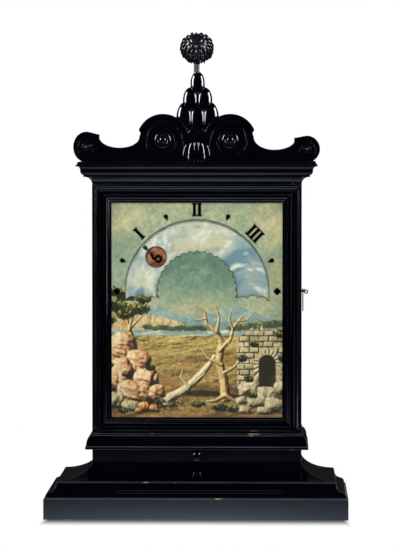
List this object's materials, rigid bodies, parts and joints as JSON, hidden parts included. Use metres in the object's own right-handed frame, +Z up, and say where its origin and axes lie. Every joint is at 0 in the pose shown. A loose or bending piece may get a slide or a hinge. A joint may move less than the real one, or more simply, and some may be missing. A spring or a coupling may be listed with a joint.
{
  "type": "night clock",
  "caption": "Free-standing night clock: ebonised case, painted pierced door mask, turning sky disc with pierced hour numerals, spring movement and inner oil lamp.",
  "frame": {"origin": "centre of the plinth's underside", "axes": "+Z up, front of the clock faces -Y, +X to the right seen from the front"},
  "size_m": [0.378, 0.208, 0.6043],
  "materials": {
    "ebonised_pear": "ebonised pear wood, french polished, glossy",
    "pine_carcass": "stained pine, dull",
    "painted_copper_mask": "oil painting on copper, satin",
    "painted_copper_sky": "oil painting on copper, satin",
    "copper_numerals": "brown lacquered copper",
    "brass": "hand-finished brass, slightly tarnished",
    "steel": "filed and polished steel",
    "blued_steel": "tempered blued spring steel",
    "tinplate": "tinned iron sheet, dull",
    "cotton_wick": "plaited cotton"
  },
  "bodies": {
    "case": {"plinth": "ebonised_pear", "base_moulding": "ebonised_pear", "pedestal_core": "ebonised_pear", "pedestal_moulding": "ebonised_pear", "pedestal_boss": "ebonised_pear", "case_floor": "pine_carcass", "waist_moulding": "ebonised_pear", "case_left_side": "ebonised_pear", "case_right_side": "ebonised_pear", "case_top": "ebonised_pear", "cornice": "ebonised_pear", "pediment": "ebonised_pear", "roundels": "ebonised_pear", "keystone_leaf": "ebonised_pear", "finial_mount": "ebonised_pear", "finial_stem": "ebonised_pear", "finial_ball": "ebonised_pear", "chimney": "tinplate", "hook_screw": "brass", "rear_hinge_case_leaves": "brass", "lamp_tray": "tinplate", "lamp_body": "brass", "lamp_wick": "cotton_wick", "seat_board": "pine_carcass", "front_plate": "brass", "back_plate": "brass", "plate_pillars": "brass", "back_cock": "brass", "barrel_arbor": "steel"},
    "front_door": {"door_top_rail": "ebonised_pear", "door_bottom_rail": "ebonised_pear", "door_left_stile": "ebonised_pear", "door_right_stile": "ebonised_pear", "dial_mask": "painted_copper_mask", "mask_clips": "brass", "door_pivot_pins": "steel", "latch_eye": "brass"},
    "hook": {"latch_hook": "brass"},
    "rear_door": {"rear_door_panel": "ebonised_pear", "rear_reflector": "tinplate", "rear_knob": "brass", "rear_hinge_door_leaves": "brass"},
    "rear_button": {"rear_turnbutton": "brass"},
    "sky": {"sky_disc": "painted_copper_sky", "sky_arbor": "steel", "sky_wheel": "brass", "jumper_springs": "blued_steel"},
    "even_hours": {"even_numerals": "copper_numerals"},
    "odd_hours": {"odd_numerals": "copper_numerals"},
    "barrel": {"barrel": "brass", "mainspring": "blued_steel"},
    "third": {"third_arbor": "steel", "third_wheel": "brass"},
    "fourth": {"fourth_arbor": "steel", "fourth_wheel": "brass"},
    "escape": {"escape_arbor": "steel", "escape_wheel": "brass"},
    "pendulum": {"anchor": "steel", "pendulum": "steel"}
  },
  "joints": [
    {"name": "front_door_swing", "type": "hinge", "parent": "case", "child": "front_door", "pos_m": [-0.127, -0.041, 0.258], "axis": [0, 0, -1], "range_deg": [0, 110]},
    {"name": "hook_swing", "type": "hinge", "parent": "case", "child": "hook", "pos_m": [0.1327, -0.019, 0.28], "axis": [-1, 0, 0], "range_deg": [0, 90]},
    {"name": "rear_door_swing", "type": "hinge", "parent": "case", "child": "rear_door", "pos_m": [0.121, 0.0962, 0.2585], "axis": [0, 0, -1], "range_deg": [0, 110]},
    {"name": "rear_button_turn", "type": "hinge", "parent": "case", "child": "rear_button", "pos_m": [-0.126, 0.095, 0.28], "axis": [0, 1, 0], "range_deg": [0, 90]},
    {"name": "fourth_arbor_spin", "type": "hinge", "parent": "case", "child": "fourth", "pos_m": [-0.02064, 0.005, 0.30511], "axis": [0, 1, 0], "continuous": true},
    {"name": "third_arbor_spin", "type": "hinge", "parent": "case", "child": "third", "pos_m": [-0.0288, 0.005, 0.28], "axis": [0, 1, 0], "continuous": true},
    {"name": "sky_disc_spin", "type": "hinge", "parent": "case", "child": "sky", "pos_m": [0, -0.02, 0.28], "axis": [0, 1, 0], "continuous": true},
    {"name": "barrel_spin", "type": "hinge", "parent": "case", "child": "barrel", "pos_m": [0.01436, 0, 0.24053], "axis": [0, 1, 0], "continuous": true},
    {"name": "escape_arbor_spin", "type": "hinge", "parent": "case", "child": "escape", "pos_m": [0, 0.005, 0.30897], "axis": [0, 1, 0], "continuous": true},
    {"name": "even_numerals_turn", "type": "hinge", "parent": "sky", "child": "even_hours", "pos_m": [-0.03217, -0.032, 0.307], "axis": [0, 1, 0], "continuous": true},
    {"name": "odd_numerals_turn", "type": "hinge", "parent": "sky", "child": "odd_hours", "pos_m": [0.03217, -0.032, 0.253], "axis": [0, 1, 0], "continuous": true},
    {"name": "pendulum_swing", "type": "hinge", "parent": "case", "child": "pendulum", "pos_m": [0, 0.005, 0.33202], "axis": [0, 1, 0], "range_deg": [-3, 3]}
  ],
  "couplings": [
    {"joint": "third_arbor_spin", "follows": "fourth_arbor_spin", "ratio": -0.14286},
    {"joint": "sky_disc_spin", "follows": "fourth_arbor_spin", "ratio": 0.020408},
    {"joint": "barrel_spin", "follows": "fourth_arbor_spin", "ratio": -0.0034014},
    {"joint": "escape_arbor_spin", "follows": "fourth_arbor_spin", "ratio": -6}
  ]
}
